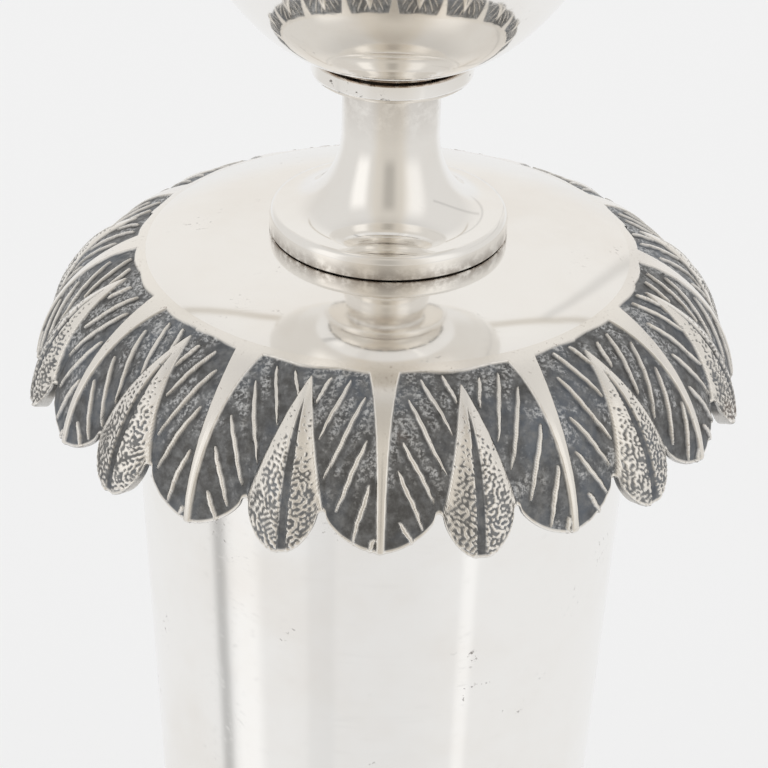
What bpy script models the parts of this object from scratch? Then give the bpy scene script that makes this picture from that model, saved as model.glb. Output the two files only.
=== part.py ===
"""Silver table candlestick, modelled as it comes apart on a bench.

A round spun foot, a column that narrows downwards, a capital with a skirt of twenty-four leaves,
a trumpet-shaped spool with a flange, an urn, and a loose nozzle with its drip pan.
One threaded rod clamps the whole stack between a nut in the urn and a nut under the foot.

Metres, +Z up. The origin is the centre of the face that the foot stands on.
"""

import math

import bmesh
import bpy

MM = 0.001
GAP = 0.3 * MM  # clear space between pieces that touch

# Leaf capital: its half-width across the broad leaf tips drives the upper half of the candlestick.
LEAF_RADIUS = 40 * MM
PLATE_LEVEL = 238 * MM  # height of the circle where the plain top ends and the leaves begin
CAPITAL_WALL = 1.2 * MM
SHOULDER_SLOPE = math.radians(20)  # slope where the top rolls over into the skirt
TOP_CURVE = 1.09 * LEAF_RADIUS  # radius of curvature of the plain top
SKIRT_CURVE = 0.457 * LEAF_RADIUS  # radius of curvature of the leaf skirt
CORNER_RADIUS = 0.704 * LEAF_RADIUS  # distance from the axis to the start of the leaves
BROAD_TIP_SLOPE = math.radians(81.6)
NARROW_TIP_SLOPE = math.radians(81.0)
NOTCH_SLOPE = math.radians(70.8)
LEAF_PAIRS = 12  # broad leaves, each with a narrow leaf beside it
BROAD_HALF_ANGLE = math.radians(8.9)
NARROW_HALF_ANGLE = math.radians(180) / LEAF_PAIRS - BROAD_HALF_ANGLE

# Column, a thin tube whose wall leans in towards the foot.
COLUMN_BOTTOM = 43.3 * MM
COLUMN_TOP = PLATE_LEVEL - 2.3 * MM
COLUMN_TOP_RADIUS = 29.3 * MM
COLUMN_TAPER = 0.0433  # radius lost per unit of height going down
COLUMN_WALL = 1.0 * MM

# Spool between the capital and the urn.
SPOOL_BASE_RADIUS = 0.331 * LEAF_RADIUS
SPOOL_BOTTOM = PLATE_LEVEL + 2.94 * MM
SPOOL_RING_HEIGHT = 2.5 * MM
NECK_RADIUS = 0.1345 * LEAF_RADIUS
NECK_START = PLATE_LEVEL + 14.6 * MM
FLANGE_BOTTOM = PLATE_LEVEL + 21.1 * MM
FLANGE_TOP = PLATE_LEVEL + 23.4 * MM
FLANGE_LOW_RADIUS = 0.220 * LEAF_RADIUS
FLANGE_HIGH_RADIUS = 0.222 * LEAF_RADIUS

# Urn. Its bowl flares on a tall ellipse from the flange, then rounds over to its widest point.
URN_SEAT_RADIUS = 7.6 * MM
URN_BOTTOM = FLANGE_TOP + GAP
FLARE_CENTRE = (0.155 * LEAF_RADIUS, PLATE_LEVEL + 3.19 * LEAF_RADIUS)
FLARE_RADII = (0.78 * LEAF_RADIUS, 2.60 * LEAF_RADIUS)
FLARE_START = -87.2  # angles on that ellipse in degrees, from the seat up to the rounding
FLARE_END = -60.2
INNER_FLARE_START = -85.0  # the same on the inside, where the floor meets the wall
SHOULDER_LEAN = 25.5  # degrees by which the flare still leans out where the rounding begins
SHOULDER_CURVE = 0.30 * LEAF_RADIUS
URN_RADIUS = 0.595 * LEAF_RADIUS
URN_BELT = PLATE_LEVEL + 1.109 * LEAF_RADIUS  # height of the bowl's widest point
URN_WALL = 1.0 * MM
URN_FLOOR = 1.2 * MM
URN_FLOOR_RADIUS = 7.0 * MM
URN_NECK_RADIUS = 15.8 * MM
URN_MOUTH_RADIUS = 19.2 * MM
URN_NECK_LEVEL = URN_BELT + 11.4 * MM
URN_TOP = URN_BELT + 17.2 * MM
RIM_HEIGHT = 2.2 * MM

# Candle nozzle and drip pan, which lift out together.
CANDLE_RADIUS = 11.5 * MM
NOZZLE_WALL = 1.0 * MM
NOZZLE_DEPTH = 27 * MM
LINER_RADIUS = 13.2 * MM
LINER_WALL = 1.0 * MM
PAN_RADIUS = 29.0 * MM
PAN_WALL = 1.0 * MM
PAN_RISE = 3.6 * MM

# Foot and the collar that carries the column.
FOOT_RADIUS = 75 * MM
RIM_RING_HEIGHT = 4.0 * MM
FOOT_WALL = 1.4 * MM
FOOT_TOP = 33.0 * MM
FOOT_TOP_RADIUS = 27.5 * MM
STEP_RADIUS = 68.3 * MM
STEP_LEVEL = 12.6 * MM
COLLAR_TOP = COLUMN_BOTTOM - GAP

# Rod, nuts and washer.
ROD_RADIUS = 3.0 * MM
ROD_HOLE = 3.4 * MM
ROD_BOTTOM = 17.0 * MM
NUT_HOLE = 3.3 * MM
NUT_ACROSS_FLATS = 10.0 * MM
NUT_HEIGHT = 5.0 * MM
WASHER_RADIUS = 10.0 * MM
WASHER_THICKNESS = 1.5 * MM
PLATE_THICKNESS = 2.5 * MM

ROUND = 32  # sides of the small turned pieces
WIDE_ROUND = 40  # sides of the foot, the column and the drip pan

SILVER = ("polished_silver", (0.90, 0.88, 0.84, 1.0), 0.12, 1.0)
LEAF_SILVER = ("chased_silver", (0.42, 0.43, 0.44, 1.0), 0.35, 1.0)
BRASS = ("brass", (0.72, 0.55, 0.27, 1.0), 0.35, 1.0)
STEEL = ("steel", (0.48, 0.48, 0.50, 1.0), 0.40, 1.0)


def clear_scene():
    for obj in list(bpy.data.objects):
        bpy.data.objects.remove(obj)


def material(name, spec):
    """A Principled material of its own for one piece."""
    kind, colour, roughness, metallic = spec
    made = bpy.data.materials.new(f"{name}_{kind}")
    made.use_nodes = True
    shader = made.node_tree.nodes["Principled BSDF"]
    shader.inputs["Base Color"].default_value = colour
    shader.inputs["Roughness"].default_value = roughness
    shader.inputs["Metallic"].default_value = metallic
    made.diffuse_color = colour
    return made


def add_object(name, bm, spec):
    """Turns the bmesh into a shaded object in the scene."""
    bmesh.ops.remove_doubles(bm, verts=bm.verts, dist=1e-7)
    bmesh.ops.recalc_face_normals(bm, faces=bm.faces)
    mesh = bpy.data.meshes.new(name)
    bm.to_mesh(mesh)
    bm.free()
    mesh.shade_smooth()
    mesh.set_sharp_from_angle(angle=math.radians(35))
    mesh.materials.append(material(name, spec))
    obj = bpy.data.objects.new(name, mesh)
    bpy.context.scene.collection.objects.link(obj)
    return obj


def arc(centre, radii, start, end, steps):
    """Points (r, z) on an ellipse's arc. Angles are in degrees from +r towards +z."""
    points = []
    for i in range(steps + 1):
        a = math.radians(start + (end - start) * i / steps)
        points.append((centre[0] + radii[0] * math.cos(a), centre[1] + radii[1] * math.sin(a)))
    return points


def turned(name, outline, spec, sides=ROUND):
    """A solid of revolution about +Z. The outline (r, z) is closed, or starts and ends on the axis."""
    bm = bmesh.new()
    verts = [bm.verts.new((r, 0, z)) for r, z in outline]
    edges = [bm.edges.new(pair) for pair in zip(verts, verts[1:])]
    if outline[0][0] > 0:
        edges.append(bm.edges.new((verts[-1], verts[0])))
    bmesh.ops.spin(
        bm, geom=verts + edges, cent=(0, 0, 0), axis=(0, 0, 1), angle=math.tau, steps=sides, use_merge=True
    )
    return add_object(name, bm, spec)


def ring_outline(inner, outer, bottom, top):
    """The outline of a plain ring of rectangular section."""
    return [(inner, top), (outer, top), (outer, bottom), (inner, bottom)]


def hexagon_nut(name, bottom, height):
    """A hexagonal nut with a round hole. Every other one of its twelve outer points is mid-flat."""
    sides = 12
    half = NUT_ACROSS_FLATS / 2
    bm = bmesh.new()
    loops = []
    for z, is_outer in ((bottom, True), (bottom + height, True), (bottom + height, False), (bottom, False)):
        loop = []
        for i in range(sides):
            a = math.tau * i / sides
            r = NUT_HOLE
            if is_outer:
                r = half if i % 2 == 0 else half / math.cos(math.pi / 6)
            loop.append(bm.verts.new((r * math.cos(a), r * math.sin(a), z)))
        loops.append(loop)
    stitch(bm, loops + loops[:1])
    return add_object(name, bm, STEEL)


def stitch(bm, loops):
    """Joins each loop of points to the next with a closed band of faces."""
    for low, high in zip(loops, loops[1:]):
        count = len(low)
        for i in range(count):
            j = (i + 1) % count
            bm.faces.new((low[i], low[j], high[j], high[i]))


def column_radius(z):
    return COLUMN_TOP_RADIUS - COLUMN_TAPER * (COLUMN_TOP - z)


def top_surface(r):
    """Height of the capital's plain top at distance r from the axis."""
    lean = max(0.0, r - SPOOL_BASE_RADIUS)
    crown = PLATE_LEVEL + TOP_CURVE * (1 - math.cos(SHOULDER_SLOPE))
    return crown - (TOP_CURVE - math.sqrt(TOP_CURVE**2 - lean**2))


def skirt_surface(slope, depth):
    """Point (r, z) of the leaf skirt where it leans down by slope, at a depth under the outer face."""
    centre_r = CORNER_RADIUS - SKIRT_CURVE * math.sin(SHOULDER_SLOPE)
    centre_z = PLATE_LEVEL - SKIRT_CURVE * math.cos(SHOULDER_SLOPE)
    curve = SKIRT_CURVE - depth
    return centre_r + curve * math.sin(slope), centre_z + curve * math.cos(slope)


def hem_slope(offset, half_angle, tip_slope):
    """Slope at which a rounded leaf ends, at an angular offset from its own middle."""
    across = min(1.0, abs(offset) / half_angle)
    return NOTCH_SLOPE + (tip_slope - NOTCH_SLOPE) * math.sqrt(1 - across**2)


def leaf_rays():
    """Directions round the skirt, as (angle, slope at the hem)."""
    pitch = math.tau / LEAF_PAIRS
    rays = []
    for pair in range(LEAF_PAIRS):
        middle = pair * pitch - math.pi / 2
        for share in (-1, -0.85, -0.45, 0, 0.45, 0.85):
            offset = share * BROAD_HALF_ANGLE
            rays.append((middle + offset, hem_slope(offset, BROAD_HALF_ANGLE, BROAD_TIP_SLOPE)))
        for share in (-1, -0.75, 0, 0.75):
            offset = share * NARROW_HALF_ANGLE
            angle = middle + pitch / 2 + offset
            rays.append((angle, hem_slope(offset, NARROW_HALF_ANGLE, NARROW_TIP_SLOPE)))
    return rays


def leaf_capital():
    """Domed top and leaf skirt, one sheet of even thickness with a hole for the rod."""
    rays = leaf_rays()
    bm = bmesh.new()

    def loop_at(point_of):
        loop = []
        for angle, hem in rays:
            r, z = point_of(hem)
            loop.append(bm.verts.new((r * math.cos(angle), r * math.sin(angle), z)))
        return loop

    def on_top(r, depth):
        return loop_at(lambda hem: (r, top_surface(r) - depth))

    def on_skirt(share, depth):
        return loop_at(lambda hem: skirt_surface(SHOULDER_SLOPE + share * (hem - SHOULDER_SLOPE), depth))

    shares = (0.0, 0.3, 0.65, 1.0)
    middle_radius = (SPOOL_BASE_RADIUS + CORNER_RADIUS) / 2
    outer = [on_top(r, 0) for r in (ROD_HOLE, SPOOL_BASE_RADIUS, middle_radius)]
    outer += [on_skirt(share, 0) for share in shares]
    inner = [on_skirt(share, CAPITAL_WALL) for share in reversed(shares)]
    inner += [on_top(r, CAPITAL_WALL) for r in (middle_radius, SPOOL_BASE_RADIUS, ROD_HOLE)]
    loops = outer + inner
    stitch(bm, loops + loops[:1])
    return add_object("leaf_capital", bm, LEAF_SILVER)


def foot():
    """Rim ring on the table, spun shell above it, and the plate inside that the nut pulls on."""
    ring_inner = FOOT_RADIUS - 7.5 * MM
    half = RIM_RING_HEIGHT / 2
    ring = arc((FOOT_RADIUS - half, half), (half, half), 60, -60, 4)
    ring = [(ring_inner, RIM_RING_HEIGHT), (FOOT_RADIUS - half, RIM_RING_HEIGHT)] + ring
    ring += [(FOOT_RADIUS - half, 0), (ring_inner, 0)]
    turned("foot_rim_ring", ring, SILVER, WIDE_ROUND)

    base = RIM_RING_HEIGHT + GAP
    edge = FOOT_RADIUS - 0.8 * MM
    band = 1.7 * MM
    ovolo = STEP_LEVEL - 1.1 * MM
    ovolo_width = edge - STEP_RADIUS - 1.2 * MM
    outer = [(FOOT_TOP_RADIUS, FOOT_TOP)]
    dome = (STEP_RADIUS - FOOT_TOP_RADIUS, FOOT_TOP - STEP_LEVEL)
    outer += arc((STEP_RADIUS, FOOT_TOP), dome, 186, 270, 8)
    outer += [(STEP_RADIUS, ovolo)]
    outer += arc((edge - ovolo_width, base + band), (ovolo_width, ovolo - base - band), 90, 0, 4)
    outer += [(edge, base)]
    inside_rise = FOOT_TOP - FOOT_WALL - (STEP_LEVEL - FOOT_WALL)
    inside_run = STEP_RADIUS - FOOT_TOP_RADIUS
    inner = [(edge - 3 * FOOT_WALL, base), (edge - 3 * FOOT_WALL, base + band)]
    inner += [(STEP_RADIUS - FOOT_WALL, STEP_LEVEL - FOOT_WALL)]
    inner += arc((STEP_RADIUS - FOOT_WALL, FOOT_TOP - FOOT_WALL), (inside_run, inside_rise), 262, 184, 7)
    inner += [(FOOT_TOP_RADIUS - 2 * FOOT_WALL, FOOT_TOP - FOOT_WALL)]
    inner += [(2 * ROD_HOLE, FOOT_TOP - FOOT_WALL), (2 * ROD_HOLE, FOOT_TOP)]
    turned("foot_shell", outer + inner, SILVER, WIDE_ROUND)

    plate_top = FOOT_TOP - FOOT_WALL - GAP
    plate = ring_outline(ROD_HOLE, 22 * MM, plate_top - PLATE_THICKNESS, plate_top)
    turned("foot_inner_plate", plate, BRASS)
    return plate_top - PLATE_THICKNESS


def collar():
    """Turned ring between the foot and the column: a torus, a fillet and a small cove."""
    bottom = FOOT_TOP + GAP
    torus = 2.7 * MM
    torus_centre = FOOT_TOP_RADIUS - 0.4 * MM
    outline = [(17 * MM, COLLAR_TOP), (22.4 * MM, COLLAR_TOP), (22.9 * MM, COLLAR_TOP - 1.4 * MM)]
    outline += [(25.6 * MM, bottom + 2 * torus + 0.6 * MM), (25.6 * MM, bottom + 2 * torus)]
    outline += arc((torus_centre, bottom + torus), (torus, torus), 75, -75, 6)
    outline += [(torus_centre, bottom), (17 * MM, bottom)]
    turned("column_base_collar", outline, SILVER)


def column():
    """Tapered tube with a plug in each end for the rod."""
    low = column_radius(COLUMN_BOTTOM)
    tube = [
        (COLUMN_TOP_RADIUS - COLUMN_WALL, COLUMN_TOP),
        (COLUMN_TOP_RADIUS, COLUMN_TOP),
        (low, COLUMN_BOTTOM),
        (low - COLUMN_WALL, COLUMN_BOTTOM),
    ]
    turned("column_shell", tube, SILVER, WIDE_ROUND)
    low_plug = ring_outline(ROD_HOLE, low - COLUMN_WALL - 0.35 * MM, COLUMN_BOTTOM, COLUMN_BOTTOM + 3 * MM)
    turned("column_bottom_plug", low_plug, BRASS)
    plug_top = PLATE_LEVEL - 1.6 * MM
    plug_bottom = plug_top - 3.2 * MM
    plug_radius = column_radius(plug_bottom) - COLUMN_WALL - 0.35 * MM
    turned("column_top_plug", ring_outline(ROD_HOLE, plug_radius, plug_bottom, plug_top), BRASS)
    seat_radius = 20 * MM
    seat_top = top_surface(seat_radius) - CAPITAL_WALL - GAP
    turned("capital_seat_disc", ring_outline(ROD_HOLE, seat_radius, plug_top + GAP, seat_top), BRASS)


def spool():
    """Trumpet-shaped stem with a ring at its foot, and the flange that the urn sits on."""
    ring_top = SPOOL_BOTTOM + SPOOL_RING_HEIGHT
    flare_start = SPOOL_BASE_RADIUS - 0.7 * MM
    outline = [(ROD_HOLE, FLANGE_BOTTOM - GAP), (NECK_RADIUS, FLANGE_BOTTOM - GAP)]
    trumpet = (flare_start - NECK_RADIUS, NECK_START - ring_top)
    outline += arc((flare_start, NECK_START), trumpet, 180, 270, 8)
    outline += [(SPOOL_BASE_RADIUS, ring_top - 0.5 * MM), (SPOOL_BASE_RADIUS, SPOOL_BOTTOM)]
    outline += [(ROD_HOLE, SPOOL_BOTTOM)]
    turned("spool_body", outline, SILVER)
    flange = [
        (ROD_HOLE, FLANGE_TOP),
        (FLANGE_HIGH_RADIUS - 0.4 * MM, FLANGE_TOP),
        (FLANGE_HIGH_RADIUS, FLANGE_TOP - 0.3 * MM),
        (FLANGE_LOW_RADIUS, FLANGE_BOTTOM + 0.5 * MM),
        (FLANGE_LOW_RADIUS - 0.5 * MM, FLANGE_BOTTOM),
        (ROD_HOLE, FLANGE_BOTTOM),
    ]
    turned("spool_flange", flange, SILVER)


def urn():
    """Bowl, bead, waisted upper body and rim, with the brass liner that the nozzle drops into."""
    floor = URN_BOTTOM + URN_FLOOR
    rounding = (URN_RADIUS - SHOULDER_CURVE, URN_BELT)
    inner_curve = SHOULDER_CURVE - URN_WALL
    inner_flare = (FLARE_RADII[0] - URN_WALL, FLARE_RADII[1] - URN_WALL)
    bowl = arc(rounding, (SHOULDER_CURVE, SHOULDER_CURVE), 0, -SHOULDER_LEAN, 3)
    bowl += arc(FLARE_CENTRE, FLARE_RADII, FLARE_END, FLARE_START, 6)
    bowl += [(URN_SEAT_RADIUS, URN_BOTTOM), (ROD_HOLE, URN_BOTTOM)]
    bowl += [(ROD_HOLE, floor), (URN_FLOOR_RADIUS, floor)]
    bowl += arc(FLARE_CENTRE, inner_flare, INNER_FLARE_START, FLARE_END, 5)
    bowl += arc(rounding, (inner_curve, inner_curve), -SHOULDER_LEAN, 0, 3)
    turned("urn_bowl", bowl, SILVER)

    bead_bottom = URN_BELT + GAP
    bead_height = 2.4 * MM
    bead_round = (bead_height / 2, bead_height / 2)
    bead_centre = URN_RADIUS - 0.5 * MM
    bead = [(URN_RADIUS - URN_WALL, bead_bottom + bead_height)]
    bead += arc((bead_centre, bead_bottom + bead_height / 2), bead_round, 90, -90, 6)
    bead += [(URN_RADIUS - URN_WALL, bead_bottom)]
    turned("urn_girdle", bead, SILVER)

    low = bead_bottom + bead_height + GAP
    low_radius = URN_RADIUS - 0.9 * MM
    rise = URN_NECK_LEVEL - low
    run = low_radius - URN_NECK_RADIUS
    mouth = URN_TOP - RIM_HEIGHT - GAP
    mouth_run = URN_MOUTH_RADIUS - 1.4 * MM - URN_NECK_RADIUS
    flared = (mouth_run, mouth - URN_NECK_LEVEL)
    outer = arc((URN_NECK_RADIUS + mouth_run, URN_NECK_LEVEL), flared, 90, 180, 4)
    outer += arc((URN_NECK_RADIUS, low), (run, rise), 75, 0, 5)
    inner = [(r - URN_WALL, z) for r, z in reversed(outer)]
    turned("urn_upper_body", outer + inner, SILVER)

    rim_bottom = URN_TOP - RIM_HEIGHT
    half = RIM_HEIGHT / 2
    liner_outer = LINER_RADIUS + LINER_WALL
    rim = [(liner_outer + GAP, URN_TOP)]
    rim += arc((URN_MOUTH_RADIUS - half, rim_bottom + half), (half, half), 80, -80, 5)
    rim += [(liner_outer + GAP, rim_bottom)]
    turned("urn_rim", rim, SILVER)

    liner_bottom = floor + GAP + NUT_HEIGHT + GAP
    liner_floor = liner_bottom + LINER_WALL
    liner = [
        (0, liner_floor),
        (LINER_RADIUS, liner_floor),
        (LINER_RADIUS, URN_TOP - GAP),
        (liner_outer, URN_TOP - GAP),
        (liner_outer, liner_bottom),
        (0, liner_bottom),
    ]
    turned("socket_liner", liner, BRASS)
    return floor + GAP


def nozzle():
    """Loose candle tube with a floor, a rolled lip, and the drip pan with its wire edge."""
    seat = URN_TOP + GAP
    outer_radius = CANDLE_RADIUS + NOZZLE_WALL
    tube_bottom = URN_TOP - NOZZLE_DEPTH
    lip_bottom = seat + 3.4 * MM
    tube = [
        (0, tube_bottom + NOZZLE_WALL),
        (CANDLE_RADIUS, tube_bottom + NOZZLE_WALL),
        (CANDLE_RADIUS, lip_bottom - GAP),
        (outer_radius, lip_bottom - GAP),
        (outer_radius, tube_bottom),
        (0, tube_bottom),
    ]
    turned("nozzle_tube", tube, SILVER, 32)
    lip = [(CANDLE_RADIUS, lip_bottom + 1.6 * MM)]
    lip += arc((outer_radius + 0.4 * MM, lip_bottom + 0.8 * MM), (0.8 * MM, 0.8 * MM), 90, -90, 4)
    lip += [(CANDLE_RADIUS, lip_bottom)]
    turned("nozzle_lip", lip, SILVER, 32)

    pan_hole = outer_radius + GAP
    flat = 19 * MM
    pan = [(pan_hole, seat + PAN_WALL), (flat, seat + PAN_WALL)]
    pan += arc((flat, seat + PAN_WALL + PAN_RISE), (PAN_RADIUS - flat - 1.0 * MM, PAN_RISE), 288, 340, 4)
    pan += [(r + 0.25 * PAN_WALL, z - PAN_WALL) for r, z in reversed(pan[2:])]
    pan += [(flat, seat), (pan_hole, seat)]
    turned("drip_pan", pan, SILVER, WIDE_ROUND)
    edge_z = max(z for r, z in pan) + GAP
    wire = 1.1 * MM
    edge = arc((PAN_RADIUS - wire, edge_z + wire), (wire, wire), 0, -315, 7)
    turned("drip_pan_rim", edge, SILVER, WIDE_ROUND)


def rod_and_nuts(plate_bottom, urn_floor):
    """Rod from end to end, its upper nut in the urn, and the washer and nut under the foot."""
    rod_top = urn_floor + NUT_HEIGHT - 0.2 * MM
    rod = [(0, rod_top), (ROD_RADIUS, rod_top), (ROD_RADIUS, ROD_BOTTOM), (0, ROD_BOTTOM)]
    turned("tie_rod", rod, STEEL, 12)
    hexagon_nut("rod_top_nut", urn_floor, NUT_HEIGHT)
    washer_bottom = plate_bottom - GAP - WASHER_THICKNESS
    washer = ring_outline(ROD_HOLE, WASHER_RADIUS, washer_bottom, plate_bottom - GAP)
    turned("rod_washer", washer, STEEL, 24)
    hexagon_nut("rod_nut", washer_bottom - GAP - NUT_HEIGHT, NUT_HEIGHT)


def main():
    clear_scene()
    plate_bottom = foot()
    collar()
    column()
    leaf_capital()
    spool()
    urn_floor = urn()
    nozzle()
    rod_and_nuts(plate_bottom, urn_floor)


main()
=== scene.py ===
"""Looks of the silver table candlestick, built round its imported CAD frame.

Every piece takes its place and its size from the CAD node that it stands for. The polished pieces are
turned again with fine outlines, the leaf capital is chased as real relief, and the rod, nut and washer
get their threads and chamfers. Lengths are in metres, +Z is up, and the camera looks along +Y.
"""

import math

import bpy
import numpy as np
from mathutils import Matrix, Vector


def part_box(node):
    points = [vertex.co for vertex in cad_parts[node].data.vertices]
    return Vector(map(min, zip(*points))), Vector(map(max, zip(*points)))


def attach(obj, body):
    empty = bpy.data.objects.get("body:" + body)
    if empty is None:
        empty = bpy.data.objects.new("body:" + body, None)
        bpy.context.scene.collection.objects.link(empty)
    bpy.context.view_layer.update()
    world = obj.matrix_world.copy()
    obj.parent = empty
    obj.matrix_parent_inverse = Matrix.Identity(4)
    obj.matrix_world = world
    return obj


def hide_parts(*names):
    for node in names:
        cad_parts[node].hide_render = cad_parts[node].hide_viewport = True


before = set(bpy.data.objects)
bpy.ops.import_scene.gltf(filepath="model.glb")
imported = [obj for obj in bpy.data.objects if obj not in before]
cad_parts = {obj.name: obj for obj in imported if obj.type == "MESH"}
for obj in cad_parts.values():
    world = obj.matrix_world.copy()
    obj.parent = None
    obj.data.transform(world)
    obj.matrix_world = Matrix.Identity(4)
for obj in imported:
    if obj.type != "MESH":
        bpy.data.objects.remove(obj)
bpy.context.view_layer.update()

MM = 0.001
DEGREE = math.pi / 180

# ---------------------------------------------------------------- places and sizes from the frame


def low(node):
    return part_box(node)[0].z


def high(node):
    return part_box(node)[1].z


def reach(node):
    """Largest distance of a CAD node from the axis."""
    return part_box(node)[1].x


def cad_outline(node):
    """(distance from the axis, height) of each corner of a CAD node."""
    points = np.array([v.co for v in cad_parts[node].data.vertices])
    return np.stack([np.hypot(points[:, 0], points[:, 1]), points[:, 2]], axis=1)


def reach_at(node, height):
    """Largest distance of a CAD node from the axis among its corners at one height."""
    outline = cad_outline(node)
    return outline[np.abs(outline[:, 1] - height) < 0.02 * MM, 0].max()


LEAF_RADIUS = reach("leaf_capital")
TOP_CURVE = 1.09 * LEAF_RADIUS  # radius of curvature of the capital's plain top
SKIRT_SHARE = 0.457
SKIRT_CURVE = SKIRT_SHARE * LEAF_RADIUS  # radius of curvature of its leaf skirt
CORNER_RADIUS = 0.704 * LEAF_RADIUS  # where the plain top ends and the leaves begin
SHOULDER = 20 * DEGREE  # slope of the capital there
CROWN = high("leaf_capital")
PLATE = CROWN - TOP_CURVE * (1 - math.cos(SHOULDER))  # height of that corner circle
CAPITAL_WALL = 1.2 * MM
SHEET = 1.0 * MM  # thickness of the spun silver
ROD_HOLE = 3.4 * MM  # radius of the hole for the tie rod

# ---------------------------------------------------------------- mesh helpers


def arc(centre, radii, start, end, steps):
    """Points (r, z) on an ellipse's arc. Angles are in degrees from +r towards +z."""
    angles = np.radians(np.linspace(start, end, steps + 1))
    return [(centre[0] + radii[0] * math.cos(a), centre[1] + radii[1] * math.sin(a)) for a in angles]


def rounded(corners, closed=True, steps=5):
    """The outline through the corners (r, z) or (r, z, radius), each corner with a radius made an arc."""
    count = len(corners)
    points = []
    for i, corner in enumerate(corners):
        here = np.array(corner[:2], float)
        radius = corner[2] if len(corner) > 2 else 0.0
        if radius == 0 or (not closed and i in (0, count - 1)):
            points.append(tuple(here))
            continue
        back = np.array(corners[i - 1][:2]) - here
        ahead = np.array(corners[(i + 1) % count][:2]) - here
        back /= np.hypot(*back)
        ahead /= np.hypot(*ahead)
        half = math.acos(max(-1.0, min(1.0, float(back @ ahead)))) / 2
        middle = back + ahead
        centre = here + middle / np.hypot(*middle) * radius / math.sin(half)
        begin = here + back * radius / math.tan(half) - centre
        turn = math.pi - 2 * half
        if begin[0] * ahead[1] - begin[1] * ahead[0] < 0:
            turn = -turn
        for k in range(steps + 1):
            a = turn * k / steps
            r = centre[0] + begin[0] * math.cos(a) - begin[1] * math.sin(a)
            z = centre[1] + begin[0] * math.sin(a) + begin[1] * math.cos(a)
            points.append((r, z))
    return points


def add_mesh(name, points, faces, normals, material, layers=None):
    """A smooth-shaded object with its own normals and its per-point float layers."""
    mesh = bpy.data.meshes.new(name)
    mesh.from_pydata([tuple(p) for p in points], [], faces)
    mesh.shade_smooth()
    for key, values in (layers or {}).items():
        made = mesh.attributes.new(key, "FLOAT", "POINT")
        made.data.foreach_set("value", np.asarray(values, np.float32))
    if normals is not None:
        mesh.normals_split_custom_set_from_vertices([tuple(n) for n in normals])
    mesh.materials.append(material)
    obj = bpy.data.objects.new(name, mesh)
    bpy.context.scene.collection.objects.link(obj)
    return obj


def outline_normals(outline, closed):
    """Outward normal at each point of an outline that runs anticlockwise, led by the longer neighbour."""
    points = np.array(outline)
    steps = np.roll(points, -1, axis=0) - points
    if not closed:
        steps[-1] = steps[-2]
    before = np.roll(steps, 1, axis=0)
    if not closed:
        before[0] = steps[0]
    ahead = np.hypot(steps[:, 0], steps[:, 1])[:, None]
    behind = np.hypot(before[:, 0], before[:, 1])[:, None]
    both = steps * ahead + before * behind
    normals = np.stack([both[:, 1], -both[:, 0]], axis=1)
    return normals / np.maximum(np.hypot(normals[:, 0], normals[:, 1]), 1e-12)[:, None]


def revolve(name, outline, material, sides=192, closed=True, joint_dirt_and_shade=None):
    """A turned piece. The outline (r, z) is a closed loop, or starts and ends on the axis, or is open.

    It runs anticlockwise, so up the outside. The last argument gives, at each of its points, a share of dirt
    and painted contact shade.
    """
    axis_ended = outline[0][0] == 0
    loop = closed and not axis_ended
    joint_dirt_and_shade = np.zeros(len(outline)) if joint_dirt_and_shade is None else np.asarray(joint_dirt_and_shade)
    flat = outline_normals(outline, loop)
    angles = np.arange(sides) * math.tau / sides
    cos, sin = np.cos(angles), np.sin(angles)
    points, normals, dirt_and_shade, rings = [], [], [], []
    for (r, z), (nr, nz), share in zip(outline, flat, joint_dirt_and_shade):
        if r == 0:
            rings.append([len(points)] * sides)
            points.append((0, 0, z))
            normals.append((0, 0, math.copysign(1, nz)))
            dirt_and_shade.append(share)
            continue
        rings.append(list(range(len(points), len(points) + sides)))
        points.extend(zip(r * cos, r * sin, [z] * sides))
        normals.extend(zip(nr * cos, nr * sin, [nz] * sides))
        dirt_and_shade.extend([share] * sides)
    faces = []
    pairs = list(zip(rings, rings[1:])) + ([(rings[-1], rings[0])] if loop else [])
    for first, second in pairs:
        for i in range(sides):
            j = (i + 1) % sides
            quad = [first[i], first[j], second[j], second[i]]
            if first[i] == first[j]:
                quad = [first[i], second[j], second[i]]
            elif second[i] == second[j]:
                quad = [first[i], first[j], second[i]]
            faces.append(quad)
    return add_mesh(name, points, faces, normals, material, {"joint_dirt_and_shade": dirt_and_shade})


def near(outline, heights, spread):
    """A share of dirt and painted contact shade for each point of an outline, full at the heights given and
    gone a spread away.
    """
    shares = [max(math.exp(-(((z - h) / spread) ** 2)) for h in heights) for _, z in outline]
    return np.array(shares)


def fit(obj, body, slot, *nodes):
    """Rides the piece on its body and hides the CAD nodes that it stands for. The slot given is not used."""
    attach(obj, body)
    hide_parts(*nodes)
    return obj


# ---------------------------------------------------------------- material helpers


def node(tree, kind, inputs=None, **settings):
    """A shader node with its settings and inputs. An input is a value or another node's output."""
    made = tree.nodes.new("ShaderNode" + kind)
    for key, value in settings.items():
        setattr(made, key, value)
    for key, value in (inputs or {}).items():
        if isinstance(value, bpy.types.NodeSocket):
            tree.links.new(value, made.inputs[key])
        else:
            made.inputs[key].default_value = value
    return made


def maths(tree, operation, *values, clamp=False):
    return node(tree, "Math", dict(enumerate(values)), operation=operation, use_clamp=clamp).outputs[0]


def step(tree, value, start, end, at_start=0.0, at_end=1.0):
    """A smooth step of the value between start and end."""
    inputs = {"Value": value, "From Min": start, "From Max": end, "To Min": at_start, "To Max": at_end}
    return node(tree, "MapRange", inputs, interpolation_type="SMOOTHSTEP").outputs["Result"]


def blend(tree, factor, a, b):
    """Colour a where factor is 0, colour b where it is 1."""
    return node(tree, "Mix", {0: factor, 6: a, 7: b}, data_type="RGBA").outputs[2]


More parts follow.
